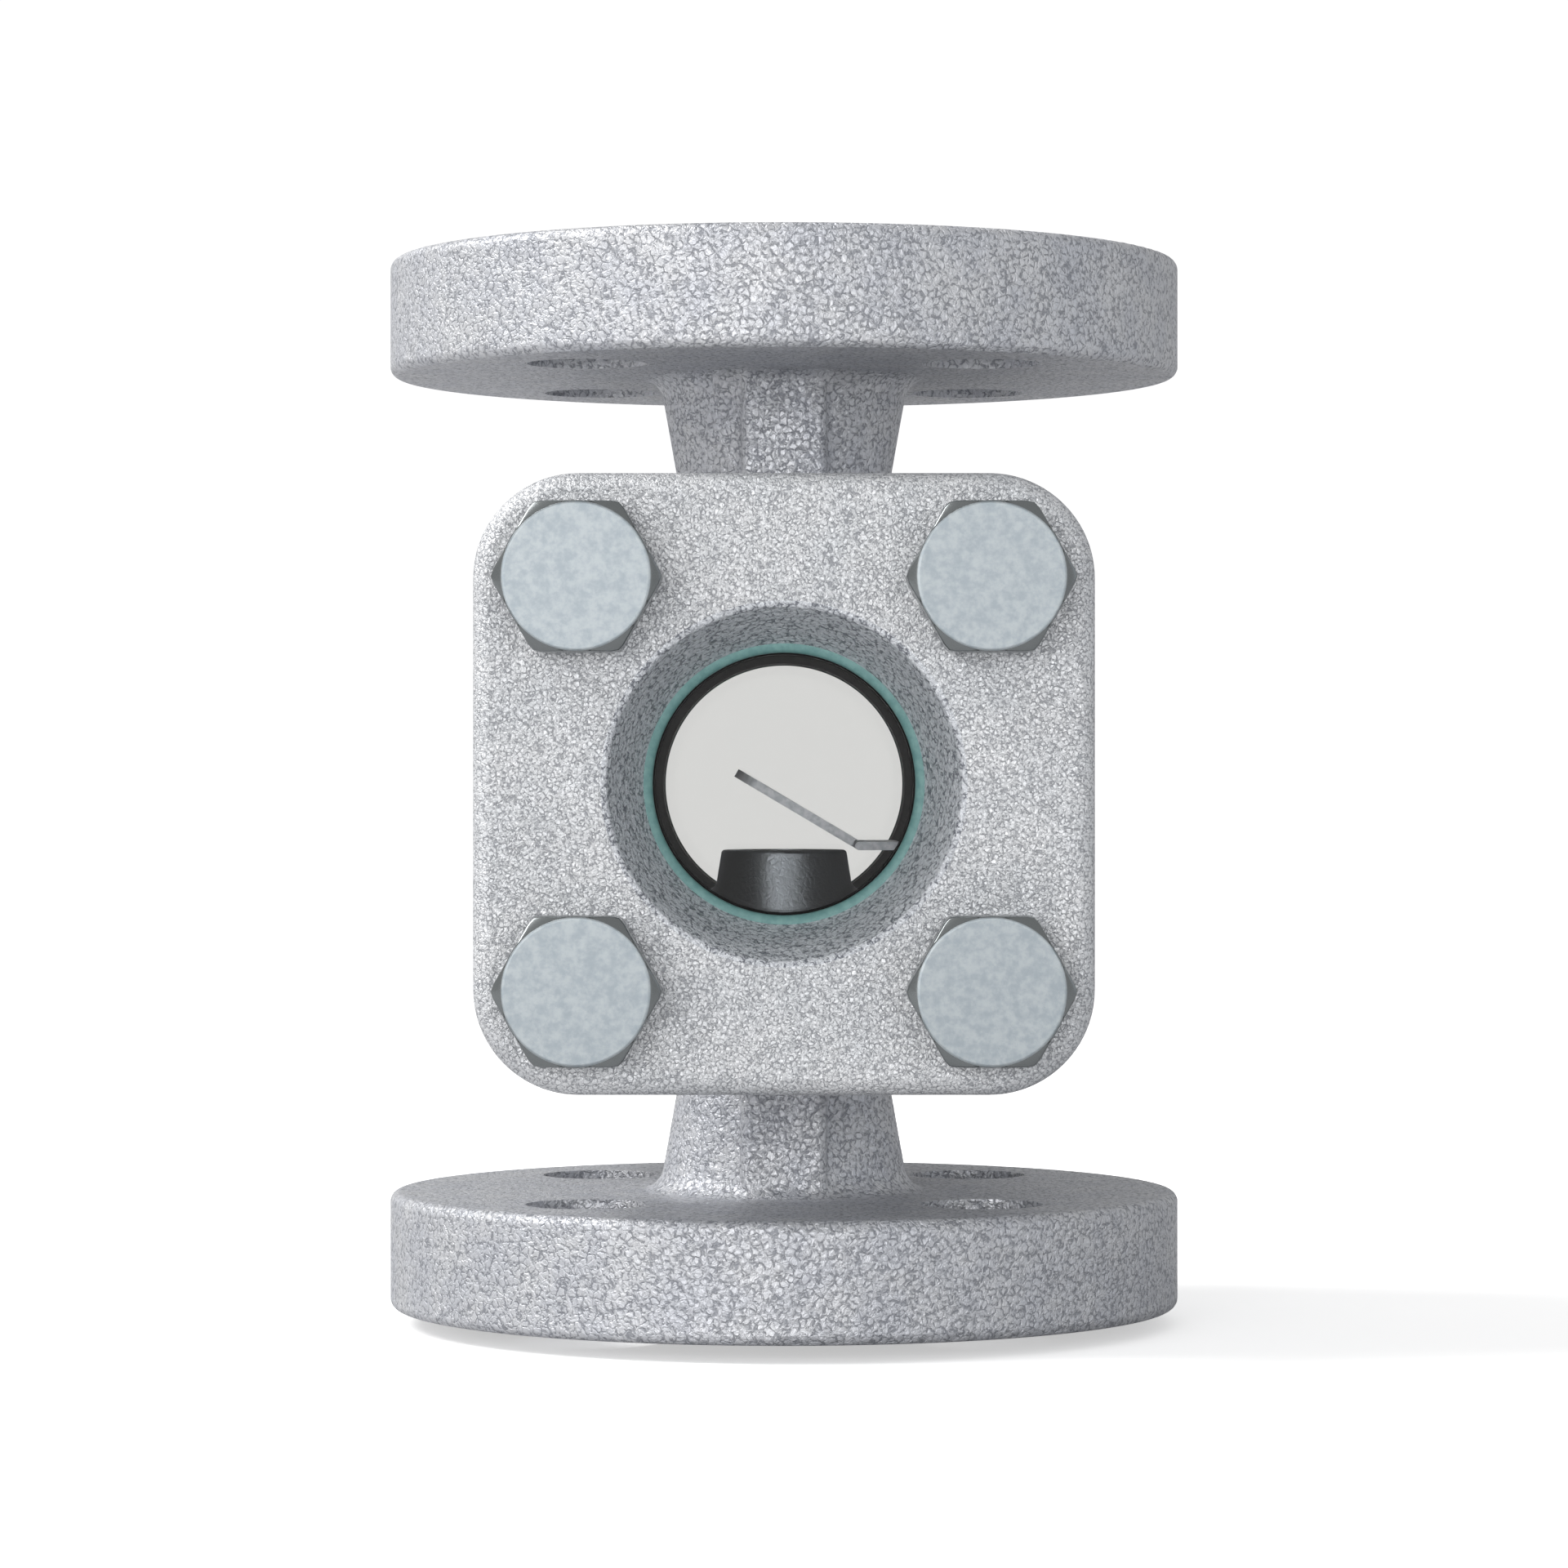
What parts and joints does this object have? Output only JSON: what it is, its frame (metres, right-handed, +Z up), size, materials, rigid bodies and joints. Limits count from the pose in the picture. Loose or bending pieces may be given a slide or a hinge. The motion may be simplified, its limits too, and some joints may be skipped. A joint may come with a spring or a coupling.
{
  "type": "flanged sight glass",
  "caption": "Flanged sight glass for a pipe line: cast body with round end flanges, square bolted window covers front and rear, and a hinged flow flap over a nozzle.",
  "frame": {"origin": "where the pipe axis crosses the window axis, at the centre of the chamber", "axes": "+Z up along the pipe axis with the flow, -Y out of the front window, +X to the viewer's right, on the flap's hinge side"},
  "size_m": [0.095, 0.1048, 0.13],
  "materials": {
    "casting": "light grey paint over rough sand-cast iron",
    "zinc_bolt": "bright zinc plate",
    "glass": "clear toughened glass",
    "outer_gasket": "green pressed fibre sheet",
    "inner_gasket": "black sealing ring",
    "stainless_sheet": "matt stainless sheet"
  },
  "bodies": {
    "housing": {"body": "casting", "front_cover": "casting", "front_glass": "glass", "front_inner_gasket": "inner_gasket", "front_outer_gasket": "outer_gasket", "front_bolt_1": "zinc_bolt", "front_bolt_2": "zinc_bolt", "front_bolt_3": "zinc_bolt", "front_bolt_4": "zinc_bolt", "rear_cover": "casting", "rear_glass": "glass", "rear_inner_gasket": "inner_gasket", "rear_outer_gasket": "outer_gasket", "rear_bolt_1": "zinc_bolt", "rear_bolt_2": "zinc_bolt", "rear_bolt_3": "zinc_bolt", "rear_bolt_4": "zinc_bolt", "flap_bracket": "stainless_sheet", "hinge_pin": "stainless_sheet", "bracket_screw_1": "stainless_sheet", "bracket_screw_2": "stainless_sheet"},
    "flap": {"flap": "stainless_sheet"}
  },
  "joints": [
    {"name": "flap_swing", "type": "hinge", "parent": "housing", "child": "flap", "pos_m": [0.00895, 0, -0.00735], "axis": [0, 1, 0], "range_deg": [-30.7, 55]}
  ]
}
